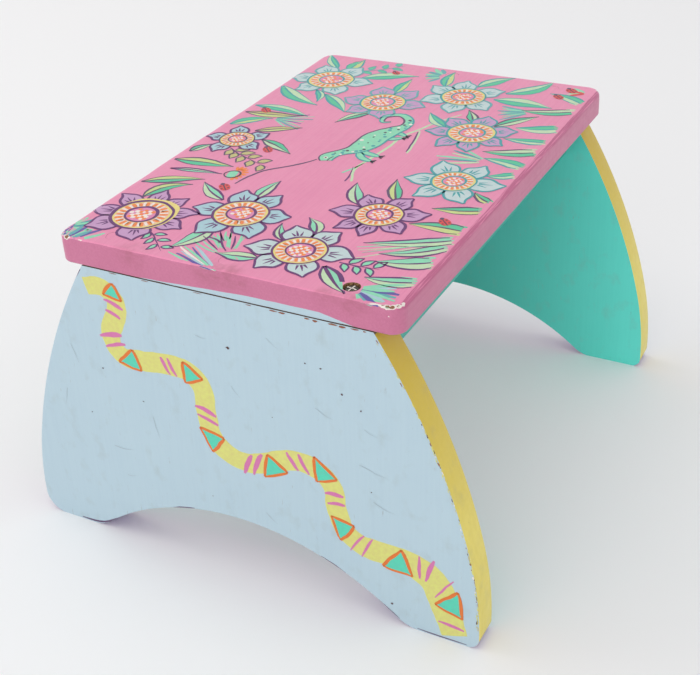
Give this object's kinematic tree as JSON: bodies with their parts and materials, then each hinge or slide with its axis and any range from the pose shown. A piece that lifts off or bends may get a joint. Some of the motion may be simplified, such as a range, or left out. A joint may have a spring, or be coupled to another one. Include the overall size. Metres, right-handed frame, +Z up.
{
  "type": "wooden footstool",
  "caption": "Low wooden step stool: a rounded seat board on two arched, slightly leaning end panels, with a rail under each long edge.",
  "frame": {"origin": "on the floor under the middle of the stool", "axes": "+X along the seat board's length, +Y across it towards the back, +Z up; the open screw hole is at the left end (-X), front side (-Y)"},
  "size_m": [0.3608, 0.3296, 0.225],
  "materials": {
    "seat_paint": "brush-painted pink over white primer, satin, worn at the edges",
    "panel_paint": "brush-painted light blue outside and turquoise inside with yellow edges, satin",
    "rail_paint": "brush-painted turquoise, satin",
    "screw_steel": "zinc-plated steel, dulled and smeared with paint",
    "filler_paint": "wood filler painted over in pink, satin"
  },
  "bodies": {
    "root": {"seat_board": "seat_paint", "left_end_panel": "panel_paint", "right_end_panel": "panel_paint", "front_rail": "rail_paint", "back_rail": "rail_paint", "seat_screw_left_front": "screw_steel", "seat_screw_left_middle": "screw_steel", "seat_screw_left_back": "screw_steel", "seat_screw_right_front": "screw_steel", "seat_screw_right_middle": "screw_steel", "seat_screw_right_back": "screw_steel", "rail_screw_front_left": "screw_steel", "rail_screw_front_right": "screw_steel", "rail_screw_back_left": "screw_steel", "rail_screw_back_right": "screw_steel", "screw_filler_left_middle": "filler_paint", "screw_filler_left_back": "filler_paint", "screw_filler_right_front": "filler_paint", "screw_filler_right_middle": "filler_paint", "screw_filler_right_back": "filler_paint"}
  },
  "joints": []
}
